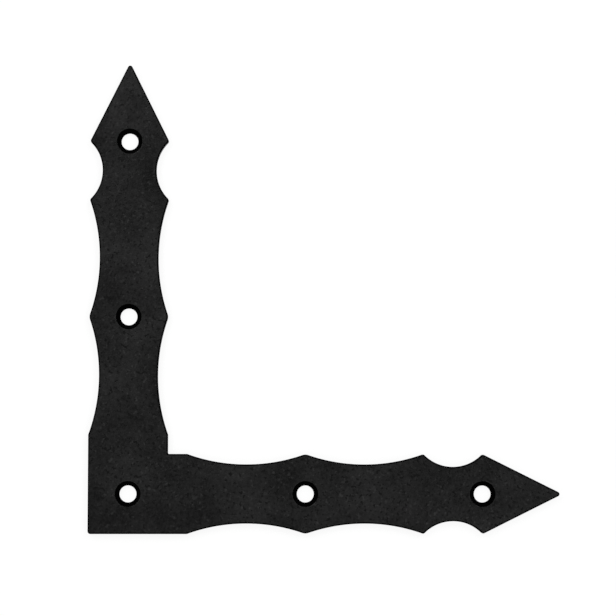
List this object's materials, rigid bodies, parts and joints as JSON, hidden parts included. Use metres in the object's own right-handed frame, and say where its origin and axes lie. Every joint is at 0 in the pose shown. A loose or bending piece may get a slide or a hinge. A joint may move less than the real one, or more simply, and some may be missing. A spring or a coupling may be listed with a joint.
{
  "type": "decorative corner brace",
  "caption": "Flat L-shaped decorative corner brace in black powder-coated steel, with scalloped arms, spear-point ends and countersunk screw holes along both arms.",
  "frame": {"origin": "centre of the corner screw hole, at the back face", "axes": "+X along one arm, +Y along the other arm, +Z out of the countersunk front face"},
  "size_m": [0.2, 0.2, 0.003],
  "materials": {
    "black_powder_coat": "fine-textured satin black powder coat on stamped steel"
  },
  "bodies": {
    "root": {"corner_plate": "black_powder_coat"}
  },
  "joints": []
}
